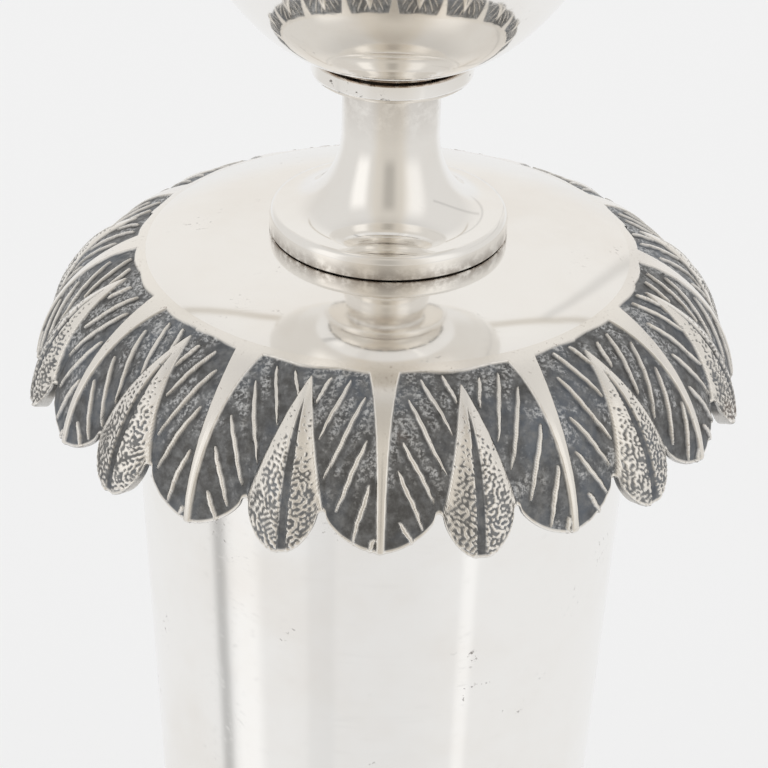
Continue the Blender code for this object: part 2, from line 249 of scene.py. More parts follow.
def noise(tree, where, scale, detail=3.0, roughness=0.5):
    inputs = {"Vector": where, "Scale": scale, "Detail": detail, "Roughness": roughness}
    return node(tree, "TexNoise", inputs).outputs["Fac"]


def object_place(tree):
    return node(tree, "TexCoord").outputs["Object"]


def layer(tree, name):
    return node(tree, "Attribute", attribute_name=name).outputs["Fac"]


def new_material(name, metallic=1.0):
    made = bpy.data.materials.new(name)
    made.use_nodes = True
    tree = made.node_tree
    shader = tree.nodes["Principled BSDF"]
    shader.inputs["Metallic"].default_value = metallic
    return made, tree, shader


def bump(tree, height, strength, distance):
    inputs = {"Height": height, "Strength": strength, "Distance": distance}
    return node(tree, "Bump", inputs).outputs["Normal"]


def scratches(tree, where, turn, scale):
    """Fine straight scratches: noise drawn out along one direction."""
    inputs = {"Vector": where, "Rotation": turn, "Scale": (scale, scale * 40, scale * 40)}
    drawn = node(tree, "Mapping", inputs).outputs["Vector"]
    return step(tree, noise(tree, drawn, 1.0, 2.0), 0.60, 0.75)


# ---------------------------------------------------------------- materials

SILVER_BRIGHT = (0.935, 0.920, 0.895, 1.0)
SILVER_WARM = (0.895, 0.865, 0.825, 1.0)
SILVER_CREAM = (0.915, 0.885, 0.835, 1.0)
# Colours of the dirt and painted contact shade laid in the joints between pieces.
JOINT_DIRT_AND_SHADE = (0.17, 0.125, 0.09, 1.0)
JOINT_DIRT_AND_SHADE_PALE = (0.46, 0.35, 0.26, 1.0)
PIT_COLOUR = (0.12, 0.10, 0.085, 1.0)
OXIDE_GREY = (0.125, 0.125, 0.125, 1.0)
OXIDE_BLUE = (0.160, 0.178, 0.205, 1.0)
OXIDE_PALE = (0.245, 0.250, 0.255, 1.0)
OXIDE_BROWN = (0.200, 0.115, 0.075, 1.0)
OXIDE_RUBBED = (0.70, 0.71, 0.72, 1.0)


def polished_silver(name, roughness=0.07, wear=1.0, stained=None, joint_dirt_and_shade_colour=JOINT_DIRT_AND_SHADE):
    """Hand-polished silver: soft unevenness, hairline scratches, a warm bloom, and dirt with painted contact
    shade in the joints between pieces.

    stained is a (lowest, highest) height between which more pits and dark smears show, and
    the last argument is the colour of the dirt and painted contact shade that the joint layer places.
    """
    made, tree, shader = new_material(name)
    where = object_place(tree)
    bloom = step(tree, noise(tree, where, 45.0, 4.0, 0.6), 0.42, 0.72)
    clean = blend(tree, bloom, SILVER_BRIGHT, SILVER_WARM)
    specks = step(tree, noise(tree, where, 1300.0, 3.0, 0.6), 0.61, 0.68)
    patches = step(tree, noise(tree, where, 120.0, 3.0), 0.61, 0.68)
    if stained:
        tall = node(tree, "SeparateXYZ", {0: where}).outputs["Z"]
        band = step(tree, tall, stained[0], stained[0] + 3 * MM)
        band = maths(tree, "MULTIPLY", band, step(tree, tall, stained[1] - 1 * MM, stained[1], 1.0, 0.0))
        smears = step(tree, noise(tree, where, 150.0, 4.0, 0.7), 0.52, 0.60)
        patches = maths(tree, "MULTIPLY_ADD", band, smears, patches, clamp=True)
    pits = maths(tree, "MULTIPLY", specks, patches)
    # Dirt and painted contact shade along the joints between pieces, darkened towards the last argument's
    # colour.
    crease = layer(tree, "joint_dirt_and_shade")
    ragged = step(tree, noise(tree, where, 700.0, 4.0, 0.65), 0.30, 0.60)
    ragged_joint_dirt_and_shade = maths(tree, "MULTIPLY", crease, ragged)
    pits = maths(tree, "MULTIPLY", pits, 0.7 * wear, clamp=True)
    dirt_and_shade = maths(tree, "MAXIMUM", pits, ragged_joint_dirt_and_shade)
    pitted = blend(tree, pits, clean, PIT_COLOUR)
    tree.links.new(blend(tree, ragged_joint_dirt_and_shade, pitted, joint_dirt_and_shade_colour), shader.inputs["Base Color"])
    one_way = scratches(tree, where, (0.4, 0.9, 0.3), 30.0)
    other_way = scratches(tree, where, (1.9, 0.2, 1.1), 38.0)
    lines = maths(tree, "ADD", one_way, other_way)
    smear = maths(tree, "MULTIPLY_ADD", lines, 0.10 * wear, roughness)
    rough = maths(tree, "ADD", smear, maths(tree, "MULTIPLY", dirt_and_shade, 0.35))
    tree.links.new(rough, shader.inputs["Roughness"])
    swell = noise(tree, where, 90.0, 2.0)
    fine = noise(tree, where, 1700.0, 3.0, 0.6)
    height = maths(tree, "MULTIPLY_ADD", fine, 0.012 * wear, swell)
    height = maths(tree, "MULTIPLY_ADD", lines, -0.03 * wear, height)
    tree.links.new(bump(tree, height, 0.28, 0.1 * MM), shader.inputs["Normal"])
    return made


def chased_silver(name):
    """The leaves: bright worn ribs and rims over a grey oxidised ground with bluish and rubbed places. The
    same dark ground is also painted as shade on the hem's underside in the notches.
    """
    made, tree, shader = new_material(name)
    where = object_place(tree)
    # Share of the dark ground: real oxide on the chased face, and painted shade under the hem in the
    # notches.
    oxide_and_shade = layer(tree, "oxide_and_shade")
    worn = layer(tree, "worn")
    bloom = step(tree, noise(tree, where, 60.0, 4.0, 0.6), 0.40, 0.70)
    clean = blend(tree, bloom, SILVER_CREAM, SILVER_WARM)
    blue = step(tree, noise(tree, where, 140.0, 3.0), 0.42, 0.66)
    ground = blend(tree, blue, OXIDE_GREY, OXIDE_BLUE)
    brown = step(tree, noise(tree, where, 95.0, 2.0), 0.64, 0.72)
    ground = blend(tree, maths(tree, "MULTIPLY", brown, 0.55), ground, OXIDE_BROWN)
    mottle = step(tree, noise(tree, where, 900.0, 5.0, 0.7), 0.35, 0.75)
    ground = blend(tree, mottle, ground, OXIDE_PALE)
    places = maths(tree, "MULTIPLY_ADD", worn, 0.16, noise(tree, where, 230.0, 4.0, 0.6))
    places = step(tree, places, 0.56, 0.74)
    flecks = step(tree, noise(tree, where, 2600.0, 4.0, 0.7), 0.44, 0.62)
    rubbed = maths(tree, "MULTIPLY", places, flecks)
    ground = blend(tree, maths(tree, "MULTIPLY", rubbed, 0.8), ground, OXIDE_RUBBED)
    specks = step(tree, noise(tree, where, 2300.0, 4.0, 0.7), 0.60, 0.68)
    stained = maths(tree, "MULTIPLY", specks, step(tree, noise(tree, where, 320.0, 3.0), 0.45, 0.62))
    clean = blend(tree, maths(tree, "MULTIPLY", stained, 0.55), clean, OXIDE_BROWN)
    tree.links.new(blend(tree, oxide_and_shade, clean, ground), shader.inputs["Base Color"])
    rough = maths(tree, "MULTIPLY_ADD", oxide_and_shade, 0.26, 0.17)
    tree.links.new(rough, shader.inputs["Roughness"])
    grain = noise(tree, where, 2400.0, 4.0, 0.65)
    height = maths(tree, "MULTIPLY", grain, maths(tree, "MULTIPLY_ADD", oxide_and_shade, 0.85, 0.15))
    tree.links.new(bump(tree, height, 0.7, 0.08 * MM), shader.inputs["Normal"])
    return made


def brass(name):
    """Unpolished brass, turned and left to go brown."""
    made, tree, shader = new_material(name)
    where = object_place(tree)
    stain = step(tree, noise(tree, where, 120.0, 5.0, 0.6), 0.35, 0.70)
    colour = blend(tree, stain, (0.70, 0.52, 0.25, 1.0), (0.36, 0.24, 0.12, 1.0))
    tree.links.new(colour, shader.inputs["Base Color"])
    rough = step(tree, noise(tree, where, 900.0, 2.0), 0.3, 0.7, 0.28, 0.45)
    tree.links.new(rough, shader.inputs["Roughness"])
    tree.links.new(bump(tree, noise(tree, where, 1500.0, 2.0), 0.3, 0.05 * MM), shader.inputs["Normal"])
    return made


def steel(name):
    """Plain machined steel, greyed, with a little rust."""
    made, tree, shader = new_material(name)
    where = object_place(tree)
    rust = step(tree, noise(tree, where, 260.0, 6.0, 0.65), 0.58, 0.72)
    colour = blend(tree, rust, (0.50, 0.50, 0.51, 1.0), (0.24, 0.13, 0.07, 1.0))
    tree.links.new(colour, shader.inputs["Base Color"])
    rough = step(tree, noise(tree, where, 700.0, 3.0), 0.3, 0.7, 0.30, 0.5)
    tree.links.new(rough, shader.inputs["Roughness"])
    tree.links.new(bump(tree, noise(tree, where, 1200.0, 3.0), 0.3, 0.05 * MM), shader.inputs["Normal"])
    return made


# ---------------------------------------------------------------- leaf capital

LEAVES = 12  # broad leaves, each with a narrow leaf on either side
HALF_PITCH = 180 / LEAVES  # degrees from a broad leaf's middle to a narrow leaf's middle
BROAD_HALF = 8.9  # degrees from a broad leaf's middle to the notch beside it
NARROW_HALF = HALF_PITCH - BROAD_HALF
NOTCH = 0.402  # notch's distance below the corner circle, along the skirt, in leaf radii
SKIRT_START = -0.03  # where the leaf pieces begin, on the plain top
GAP_HALF = 0.75  # degrees from the middle of a notch to either leaf's side
COLUMNS = 192
ROWS = 168

RIB_HALF = 0.45  # half-width in degrees of a broad leaf's middle rib at its lower end
RIB_FLARE = 2.75  # degrees that its upper end is wider by
NARROW_FULL = 6.1  # full half-width in degrees of a narrow leaf, and how far down it gets there
NARROW_GROWTH = 0.37
GROOVE_HALF = 0.68  # half-width in degrees of a narrow leaf's middle groove
STIPPLE_LENGTH = 0.50 * MM
MIDDLE_SPAN = 0.86 * LEAF_RADIUS * DEGREE  # width of one degree on the middle of the skirt

# Heights and depths of the chasing, in millimetres.
PANEL_DEPTH = 0.34
VEIN_HEIGHT = 0.30
GROOVE_DEPTH = 0.26
STIPPLE_DEPTH = 0.09

# Veins on either side of a broad leaf's middle, each as (degrees, distance below the corner circle)
# of its upper, inner end and then of its lower, outer end.
RIGHT_VEINS = (
    (7.5, 0.015, 11.7, 0.185),
    (11.8, 0.015, 13.8, 0.10),
    (4.6, 0.08, 9.9, 0.285),
    (3.2, 0.19, 8.3, 0.365),
    (2.4, 0.28, 6.6, 0.43),
    (2.7, 0.40, 4.8, 0.47),
)
LEFT_VEINS = (
    (-6.6, 0.03, -10.5, 0.21),
    (-10.8, 0.03, -12.4, 0.115),
    (-3.7, 0.08, -9.1, 0.30),
    (-2.7, 0.19, -7.0, 0.385),
    (-1.6, 0.31, -4.2, 0.465),
    (-0.8, 0.45, -1.3, 0.49),
)


def ease(value, start, end):
    """A smooth step from 0 at start to 1 at end."""
    t = np.clip((value - start) / (end - start), 0, 1)
    return t * t * (3 - 2 * t)


def leaf_variations():
    """Small differences from leaf to leaf, as a hand-chased skirt has them."""
    draw = np.random.default_rng(7)
    leaves = []
    for _ in range(LEAVES):
        leaves.append(
            {
                "middle": draw.uniform(-0.35, 0.35),
                "narrow_middle": draw.uniform(-0.4, 0.4),
                "apex": draw.uniform(0.02, 0.055),
                "groove_drift": draw.uniform(-0.8, 0.8),
                "broad_drop": draw.uniform(-0.006, 0.006),
                "narrow_drop": draw.uniform(-0.006, 0.006),
                "vein_shift": draw.uniform(-1, 1, (len(RIGHT_VEINS) + len(LEFT_VEINS), 4)),
                "phase": draw.uniform(0, math.tau, 4),
            }
        )
    return leaves


VARIATIONS = leaf_variations()


def ripple_field():
    """Directions, phases and lengths of waves, whose sum makes worm-like hills and furrows."""
    draw = np.random.default_rng(11)
    angles = draw.uniform(0, math.tau, 56)
    return np.cos(angles), np.sin(angles), draw.uniform(0, math.tau, 56), draw.uniform(0.78, 1.35, 56)


RIPPLES = ripple_field()


def ripples(x, y, wavelength):
    """Sum of the waves at points of the skirt's surface, about -1 to 1 most of the time."""
    total = np.zeros_like(x)
    for cx, cy, phase, share in zip(*RIPPLES):
        total += np.cos(math.tau * (cx * x + cy * y) / (wavelength * share) + phase)
    return total / math.sqrt(len(RIPPLES[0]) / 2)


def hem(index, u):
    """Distance of the scalloped hem below the corner circle, in leaf radii."""
    leaf, before = VARIATIONS[index], VARIATIONS[index - 1]
    off = np.abs(u)
    share = np.clip(off / (BROAD_HALF - GAP_HALF), 0, 1)
    broad = (0.088 + leaf["broad_drop"]) * (1 - share**1.7) ** 0.75
    drop = np.where(u > 0, leaf["narrow_drop"], before["narrow_drop"])
    share = np.clip((HALF_PITCH - off) / (NARROW_HALF - GAP_HALF), 0, 1)
    narrow = (0.098 + drop) * (1 - share**2) ** 0.7
    arch = -0.018 * np.sqrt(np.clip(1 - ((off - BROAD_HALF) / GAP_HALF) ** 2, 0, 1))
    return NOTCH + np.where(off < BROAD_HALF, broad, narrow) + arch


def vein_field(index, u, v):
    """(0 to 1 over the raised veins, distance to the nearest vein) at points of one leaf's sector."""
    leaf = VARIATIONS[index]
    scale = np.array([MIDDLE_SPAN, LEAF_RADIUS])
    found = np.zeros_like(u)
    nearest = np.full_like(u, 9 * MM)
    for i, vein in enumerate(RIGHT_VEINS + LEFT_VEINS):
        shift = leaf["vein_shift"][i]
        start = np.array([vein[0] + 0.3 * shift[0], vein[1] + 0.008 * shift[1]])
        end = np.array([vein[2] + 0.3 * shift[2], vein[3] + 0.008 * shift[3]])
        along = (end - start) * scale
        length = np.hypot(*along)
        along /= length
        x = (u - leaf["middle"] - start[0]) * MIDDLE_SPAN
        y = (v - start[1]) * LEAF_RADIUS
        t = np.clip((x * along[0] + y * along[1]) / length, 0, 1)
        bow = math.copysign(0.07, vein[0]) * MM * np.sin(math.pi * t)
        wander = 0.04 * MM * np.sin(9 * t + leaf["phase"][i % 4]) + 0.02 * MM * np.sin(31 * t + i)
        dx, dy = x - t * length * along[0], y - t * length * along[1]
        side = dx * along[1] - dy * along[0]
        inside = (t > 0) & (t < 1)
        across = np.where(inside, np.abs(side - bow - wander), np.hypot(dx, dy))
        width = 0.27 * MM * (np.sin(math.pi * t) ** 2) ** 0.16 * (1.06 - 0.3 * t)
        found = np.maximum(found, ease(width - across, -0.05 * MM, 0.09 * MM) * inside)
        nearest = np.minimum(nearest, across)
    return found, nearest


def relief(index, u, v):
    """(height over the smooth skirt, share of oxide, share of wear) at u degrees and v leaf radii."""
    leaf, before = VARIATIONS[index], VARIATIONS[index - 1]
    slope = SHOULDER + v / SKIRT_SHARE
    r = CORNER_RADIUS + SKIRT_CURVE * (np.sin(slope) - math.sin(SHOULDER))
    span = r * DEGREE
    down = v * LEAF_RADIUS

    rib = RIB_HALF + RIB_FLARE * np.exp(-np.maximum(v, -0.01) / 0.14)
    from_rib = (np.abs(u - leaf["middle"]) - rib) * span

    right = u > 0
    own_u = np.where(right, u - HALF_PITCH - leaf["narrow_middle"], u + HALF_PITCH - before["narrow_middle"])
    apex = np.where(right, leaf["apex"], before["apex"])
    drift = np.where(right, leaf["groove_drift"], before["groove_drift"])
    half = NARROW_FULL * (np.clip((v - apex) / NARROW_GROWTH, 0, 1.2)) ** 0.85
    from_narrow = np.where(
        v > apex, (np.abs(own_u) - half) * span, np.hypot(own_u * span, (apex - v) * LEAF_RADIUS)
    )
    ragged = 0.004 * np.sin(0.4 * u + leaf["phase"][0])
    from_top = (v - ragged) * LEAF_RADIUS
    panel_depth = np.minimum(np.minimum(from_rib, from_narrow), from_top)
    panel = ease(panel_depth, -0.04 * MM, 0.13 * MM)
    veins, from_vein = vein_field(index, u, v)
    veins = veins * panel

    x = (u + 2 * HALF_PITCH * index) * 0.86 * LEAF_RADIUS * DEGREE
    warp = ripples(x + 5 * MM, down, 1.6 * MM)
    worms = ripples(x + 0.06 * MM * warp, down - 0.05 * MM * warp, STIPPLE_LENGTH)
    inside = -from_narrow
    grown = ease(v, apex + 0.01, apex + 0.16)
    crown = 1 - np.clip(np.abs(own_u) / np.maximum(half, 0.3), 0, 1) ** 2
    narrow = ease(inside, 0.0, 0.12 * MM) * (v > apex)
    groove_u = own_u - drift * ease(v, 0.1, 0.5)
    groove_half = GROOVE_HALF * np.clip((v - apex - 0.07) / 0.16, 0, 1) ** 0.7
    groove = ease((groove_half - np.abs(groove_u)) * span, -0.05 * MM, 0.12 * MM)
    groove = groove * (groove_half > 0) * narrow
    density = ease(v, 0.10, 0.36)
    rim = ease(inside, 0.25 * MM, 0.85 * MM) + ease(v, 0.36, 0.40)
    bar = 1.85 - 2.25 * density * np.clip(rim, 0, 1)
    stipple = ease(worms + 0.35 * warp, bar, bar + 0.5) * narrow * ease(v, apex + 0.05, apex + 0.12)

    lobe = np.where(
        np.abs(u) < BROAD_HALF,
        -0.45 * (np.abs(u) / BROAD_HALF) ** 2,
        -0.45 + 0.88 * (1 - (np.clip(np.abs(own_u) / NARROW_HALF, 0, 1)) ** 2),
    )
    height = ease(v, 0.05, 0.42) * lobe * 0.8
    strips = np.clip(from_vein / (1.1 * MM), 0, 1)
    height = height - PANEL_DEPTH * panel + VEIN_HEIGHT * veins + 0.10 * panel * strips
    height = height + 0.025 * panel * ripples(x, down, 1.4 * MM) * (1 - veins)
    rib_share = np.clip(1 - (np.abs(u - leaf["middle"]) / rib), 0, 1)
    height = height + 0.06 * ease(v, 0.05, 0.3) * rib_share * (1 - panel)
    height = height + narrow * grown * (-0.08 + 0.38 * crown)
    height = height - GROOVE_DEPTH * groove - STIPPLE_DEPTH * stipple * (1 - groove)
    height = height * ease(v, SKIRT_START, 0.0)

    from_hem = (hem(index, u) - v) * LEAF_RADIUS
    oxide_and_shade = np.maximum(panel * (1 - 0.97 * veins), np.maximum(0.92 * stipple, groove))
    oxide_and_shade = oxide_and_shade * ease(from_hem, 0.05 * MM, 0.28 * MM)
    worn = panel * ease(from_vein, 0.30 * MM, 0.95 * MM) * (1 - ease(v, 0.22, 0.46))
    return height * MM, oxide_and_shade, worn * (1 - groove)


def skirt_point(v, out):
    """(r, z, slope) of the capital at distance v below the corner circle and out beyond its smooth face."""
    curve = np.where(v < 0, TOP_CURVE, SKIRT_CURVE)
    slope = SHOULDER + v * LEAF_RADIUS / curve
    r = CORNER_RADIUS - curve * math.sin(SHOULDER) + (curve + out) * np.sin(slope)
    z = PLATE - curve * math.cos(SHOULDER) + (curve + out) * np.cos(slope)
    return r, z, slope


def place(u, r, z, index):
    """Points in space at u degrees from a broad leaf's middle."""
    a = (u + 2 * HALF_PITCH * index) * DEGREE
    return np.stack([r * np.sin(a), -r * np.cos(a), z + 0 * a], axis=-1)


def leaf_sector(index, material):
    """One broad leaf with half of the narrow leaf on either side: chased face, rounded hem and back."""
    pitch = 2 * HALF_PITCH / COLUMNS
    u = np.linspace(-HALF_PITCH - pitch, HALF_PITCH + pitch, COLUMNS + 3)
    edge = hem(index, np.clip(u, -HALF_PITCH, HALF_PITCH))
    share = np.linspace(0, 1, ROWS + 1)
    v = SKIRT_START + share[:, None] * (edge - SKIRT_START)[None, :]
    v = np.vstack([v[0] - (v[1] - v[0]), v, v[-1] + (v[-1] - v[-2])])
    grid_u = np.broadcast_to(u, v.shape)
    out, oxide_and_shade, worn = relief(index, grid_u, v)
    r, z, _ = skirt_point(v, out)
    face = place(grid_u, r, z, index)
    across = face[1:-1, 2:] - face[1:-1, :-2]
    downward = face[2:, 1:-1] - face[:-2, 1:-1]
    normals = np.cross(downward, across)
    normals /= np.linalg.norm(normals, axis=-1)[..., None]
    face, oxide_and_shade, worn, out = face[1:-1, 1:-1], oxide_and_shade[1:-1, 1:-1], worn[1:-1, 1:-1], out[-2, 1:-1]
    u, edge = u[1:-1], edge[1:-1]

    rounding = 0.28 * MM
    r, z, slope = skirt_point(edge, out)
    turn_out = np.stack([np.sin(slope), np.cos(slope)])
    turn_down = np.stack([np.cos(slope), -np.sin(slope)])
    rows, row_oxide_and_shade, row_normals = list(face), list(oxide_and_shade), list(normals)
    thickness = out + CAPITAL_WALL
    bends = []  # distance down, distance in, and the normal's parts out and down
    for a in (0.5, 1.05, 1.571):
        bends.append((math.sin(a) * rounding, (1 - math.cos(a)) * rounding, math.cos(a), math.sin(a)))
    steps = [(d, np.full_like(u, i), n, t) for d, i, n, t in bends]
    steps += [(d, thickness - i, -n, t) for d, i, n, t in reversed(bends)]
    steps += [(0.0, thickness, -1.0, 0.0)]
    # Inside the notches the hem's underside and inner face get the dark ground as painted shade; elsewhere
    # they stay bright.
    in_notch = 1 - ease(np.abs(np.abs(u) - BROAD_HALF), GAP_HALF, 2.2 * GAP_HALF)
    for down, inward, nn, nt in steps:
        at = np.stack([r, z]) + turn_down * down - turn_out * inward
        rows.append(place(u, at[0], at[1], index))
        row_oxide_and_shade.append(0.05 + 0.9 * in_notch if nn < 0.2 else np.full_like(u, 0.05))
        bent = turn_out * nn + turn_down * nt
        row_normals.append(place(u, bent[0], bent[1], index))
    for share in np.linspace(1, 0, 14)[1:]:
        back_v = SKIRT_START + share * (edge - SKIRT_START)
        r, z, slope = skirt_point(back_v, -CAPITAL_WALL)
        rows.append(place(u, r, z, index))
        row_oxide_and_shade.append(np.full_like(u, 0.75))
        row_normals.append(place(u, -np.sin(slope), -np.cos(slope), index))

    points = np.array(rows)
    count, width = points.shape[:2]
    all_worn = np.zeros((count, width))
    all_worn[: len(worn)] = worn
    at = np.arange(count * width).reshape(count, width)
    faces = np.stack([at[:-1, :-1], at[1:, :-1], at[1:, 1:], at[:-1, 1:]], axis=-1).reshape(-1, 4)
    return add_mesh(
        f"leaf_skirt_{index + 1:02d}",
        points.reshape(-1, 3).tolist(),
        faces.tolist(),
        np.array(row_normals).reshape(-1, 3),
        material,
        {"oxide_and_shade": np.array(row_oxide_and_shade).ravel(), "worn": all_worn.ravel()},
    )


def crown_top(material):
    """The capital's plain domed top, outer and inner face, down to where the leaf pieces begin."""
    start = -SHOULDER * TOP_CURVE / LEAF_RADIUS
    heights = np.linspace(start, SKIRT_START, 40)
    inner = [skirt_point(np.array(v), -CAPITAL_WALL)[:2] for v in heights]
    outer = [skirt_point(np.array(v), 0.0)[:2] for v in heights]
    outer = [(float(r), float(z)) for r, z in outer]
    inner = [(float(r), float(z)) for r, z in inner]
    outline = list(reversed(inner))[:-1] + [(ROD_HOLE, CROWN - CAPITAL_WALL), (ROD_HOLE, CROWN)] + outer[1:]
    outline = list(reversed(outline))
    return revolve("capital_top", outline, material, 480, closed=False)


def leaf_capital():
    top = crown_top(polished_silver("capital_top_silver", 0.07, 0.35))
    fit(top, "stand", "polished_silver", "leaf_capital")
    chased = chased_silver("leaf_silver")
    for index in range(LEAVES):
        fit(leaf_sector(index, chased), "stand", "chased_silver", "leaf_capital")


# ---------------------------------------------------------------- turned pieces


def column():
    """The tapered tube between the capital and the collar."""
    top, bottom = high("column_shell"), low("column_shell")
    wide, narrow = reach_at("column_shell", top), reach_at("column_shell", bottom)
    wall = SHEET
    corners = [
        (narrow - wall, bottom, 0.2 * MM),
        (narrow, bottom, 0.2 * MM),
        (wide, top, 0.2 * MM),
        (wide - wall, top, 0.2 * MM),
    ]
    outline = rounded(corners)
    silver = polished_silver("column_silver", 0.09, 1.0, (top - 17 * MM, top - 6 * MM))
    tube = revolve("column_tube", outline, silver, 256)
    fit(tube, "stand", "polished_silver", "column_shell")


def foot():
    """The rim ring on the table and the spun shell above it."""
    bottom, top = low("foot_rim_ring"), high("foot_rim_ring")
    outer = reach("foot_rim_ring")
    half = (top - bottom) / 2
    inner = outer - 7.5 * MM
    ring = [(inner, top - 0.2 * MM), (inner, bottom + 0.3 * MM), (inner + 0.3 * MM, bottom)]
    ring += [(outer - half, bottom)]
    ring += arc((outer - half, bottom + half), (half, half), -85, 85, 16)
    ring += [(outer - half, top), (inner + 0.2 * MM, top)]
    silver = polished_silver("foot_ring_silver")
    fit(revolve("foot_ring", ring, silver, 288), "stand", "polished_silver", "foot_rim_ring")

    base, crown = low("foot_shell"), high("foot_shell")
    edge = reach("foot_shell")
    wall = 1.4 * MM
    neck = 27.5 * MM
    step_r = 68.3 * MM
    step_z = 12.6 * MM
    band = 1.7 * MM
    ovolo_top = step_z - 1.1 * MM
    ovolo_run = edge - step_r - 1.2 * MM
    run, rise = step_r - neck, crown - step_z
    outer_line = [(edge - 0.15 * MM, base), (edge, base + 0.15 * MM), (edge, base + band - 0.15 * MM)]
    outer_line += arc((edge - ovolo_run, base + band), (ovolo_run, ovolo_top - base - band), 2, 88, 20)
    outer_line += [(step_r + 0.5 * MM, ovolo_top), (step_r + 0.12 * MM, ovolo_top + 0.1 * MM)]
    outer_line += [(step_r, ovolo_top + 0.35 * MM), (step_r, step_z - 0.3 * MM)]
    outer_line += [(step_r - 0.1 * MM, step_z - 0.08 * MM)]
    outer_line += arc((step_r, crown), (run, rise), 269, 186, 60)
    outer_line += [(neck, crown)]
    inner_line = [(6.8 * MM, crown), (6.8 * MM, crown - wall), (neck - 2 * wall, crown - wall)]
    inner_line += arc((step_r - wall, crown - wall), (run, crown - wall - step_z + wall), 184, 262, 40)
    inner_line += [(step_r - wall, step_z - wall), (edge - 3 * wall, base + band), (edge - 3 * wall, base)]
    outline = outer_line + inner_line
    silver = polished_silver("foot_silver", 0.08)
    fit(revolve("foot_body", outline, silver, 288), "stand", "polished_silver", "foot_shell")


def collar():
    """Torus, fillet and cove that carry the column."""
    bottom, top = low("column_base_collar"), high("column_base_collar")
    torus = 2.7 * MM
    centre = 27.1 * MM
    outline = [(17 * MM, bottom), (centre, bottom)]
    outline += arc((centre, bottom + torus), (torus, torus), -80, 78, 24)
    outline += [(25.6 * MM, bottom + 2 * torus + 0.05 * MM), (25.6 * MM, bottom + 2 * torus + 0.5 * MM)]
    outline += arc((25.6 * MM, top - 1.5 * MM), (2.5 * MM, 2.0 * MM), 265, 182, 12)
    outline += [(22.6 * MM, top - 0.4 * MM), (22.4 * MM, top), (17 * MM, top)]
    silver = polished_silver("collar_silver")
    fit(revolve("base_collar", outline, silver, 256), "stand", "polished_silver", "column_base_collar")


def spool():
    """Trumpet-shaped stem and the flange that the urn stands on."""
    bottom, top = CROWN + 0.03 * MM, low("spool_flange") - 0.02 * MM
    base = reach("spool_body")
    neck = reach_at("spool_body", high("spool_body"))
    ring_top = bottom + 2.75 * MM
    flare_start = base - 0.7 * MM
    neck_z = PLATE + 14.6 * MM
    outline = [(ROD_HOLE, bottom), (base - 0.2 * MM, bottom), (base, bottom + 0.25 * MM)]
    outline += [(base, ring_top - 0.9 * MM), (base - 0.12 * MM, ring_top - 0.45 * MM)]
    outline += [(base - 0.35 * MM, ring_top - 0.12 * MM)]
    outline += arc((flare_start, neck_z), (flare_start - neck, neck_z - ring_top), 270, 180, 64)
    outline += [(neck, top), (ROD_HOLE, top)]
    silver = polished_silver("spool_silver", 0.06)
    # Painted contact shade, with some dirt, where the spool meets the capital below and the flange above.
    dirt_and_shade = near(outline, [bottom], 0.34 * MM) + 0.25 * near(outline, [top], 0.3 * MM)
    fit(revolve("spool", outline, silver, 224, joint_dirt_and_shade=dirt_and_shade), "stand", "polished_silver", "spool_body")

    bottom, top = low("spool_flange"), high("spool_flange")
    wide = reach("spool_flange")
    corners = [
        (ROD_HOLE, bottom),
        (wide - 0.1 * MM, bottom, 0.75 * MM),
        (wide, top, 0.22 * MM),
        (ROD_HOLE, top),
    ]
    outline = rounded(corners)
    outline.insert(len(outline) - 1, (wide - 0.9 * MM, top))
    # Painted contact shade, with some dirt, over the flange's top face, where the bowl stands.
    dirt_and_shade = [1.0 if z > top - 0.01 * MM and r < wide - 0.2 * MM else 0.0 for r, z in outline]
    silver = polished_silver("flange_silver", 0.09, 1.2, (bottom - 3 * MM, top + 1 * MM), JOINT_DIRT_AND_SHADE_PALE)
    fit(revolve("flange", outline, silver, 192, joint_dirt_and_shade=dirt_and_shade), "stand", "polished_silver", "spool_flange")


